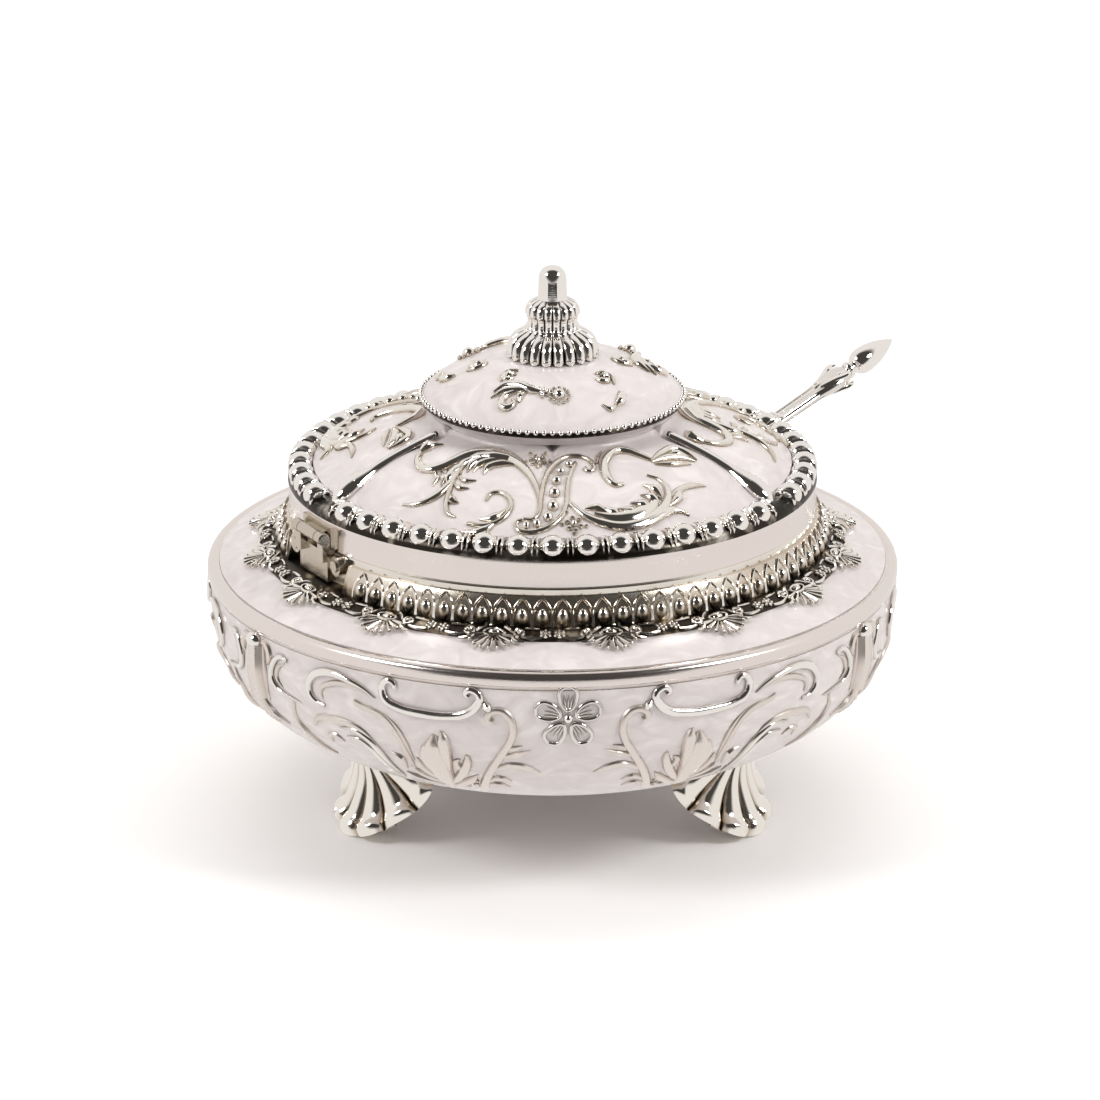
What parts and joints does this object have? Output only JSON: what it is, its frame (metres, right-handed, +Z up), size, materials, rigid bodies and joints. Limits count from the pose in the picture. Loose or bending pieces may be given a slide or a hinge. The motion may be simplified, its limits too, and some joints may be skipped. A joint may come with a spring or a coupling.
{
  "type": "sugar bowl",
  "caption": "Round footed sugar bowl with a domed hinged lid, a finial knob, and a spoon that slides out through a notch in the lid's rim.",
  "frame": {"origin": "point on the table under the bowl's axis, in the plane of the three feet", "axes": "+Z up along the bowl's axis, -Y towards the front, +X to the right"},
  "size_m": [0.1423, 0.1404, 0.1127],
  "materials": {
    "silver_plate": "cast metal with bright silver plating, polished on the high points and faintly tarnished in the recesses",
    "pearl_enamel": "pearl enamel over cast metal, pale pinkish cream with soft mother-of-pearl swirls",
    "hinge_nickel": "plain plated hinge metal with a warm tarnish",
    "steel_fastener": "plain steel fastener"
  },
  "bodies": {
    "bowl": {"bowl_shell": "pearl_enamel", "rim_moulding": "silver_plate", "shoulder_plate": "pearl_enamel", "collar_ring": "silver_plate", "egg_gallery": "silver_plate", "lace_border": "silver_plate", "foot_front_left": "silver_plate", "foot_front_right": "silver_plate", "foot_back": "silver_plate", "foot_screws": "steel_fastener", "hinge_body_leaf": "hinge_nickel", "hinge_pin": "steel_fastener", "hinge_body_rivets": "hinge_nickel"},
    "lid": {"lid_band": "silver_plate", "lid_dome": "pearl_enamel", "lid_bead_ring": "silver_plate", "crown_plate": "pearl_enamel", "knob_bell": "silver_plate", "knob_cup": "silver_plate", "knob_tip": "silver_plate", "knob_stud": "steel_fastener", "knob_washer": "steel_fastener", "knob_nut": "steel_fastener", "hinge_lid_leaf": "hinge_nickel", "hinge_lid_rivets": "hinge_nickel"},
    "spoon": {"spoon": "silver_plate"}
  },
  "joints": [
    {"name": "lid_hinge", "type": "hinge", "parent": "bowl", "child": "lid", "pos_m": [-0.04798, -0.0277, 0.0661], "axis": [0.5, -0.866, 0], "range_deg": [0, 100]},
    {"name": "spoon_slide", "type": "slide", "parent": "bowl", "child": "spoon", "axis": [0.7405, 0.5785, 0.342], "range_m": [0, 0.03]}
  ]
}
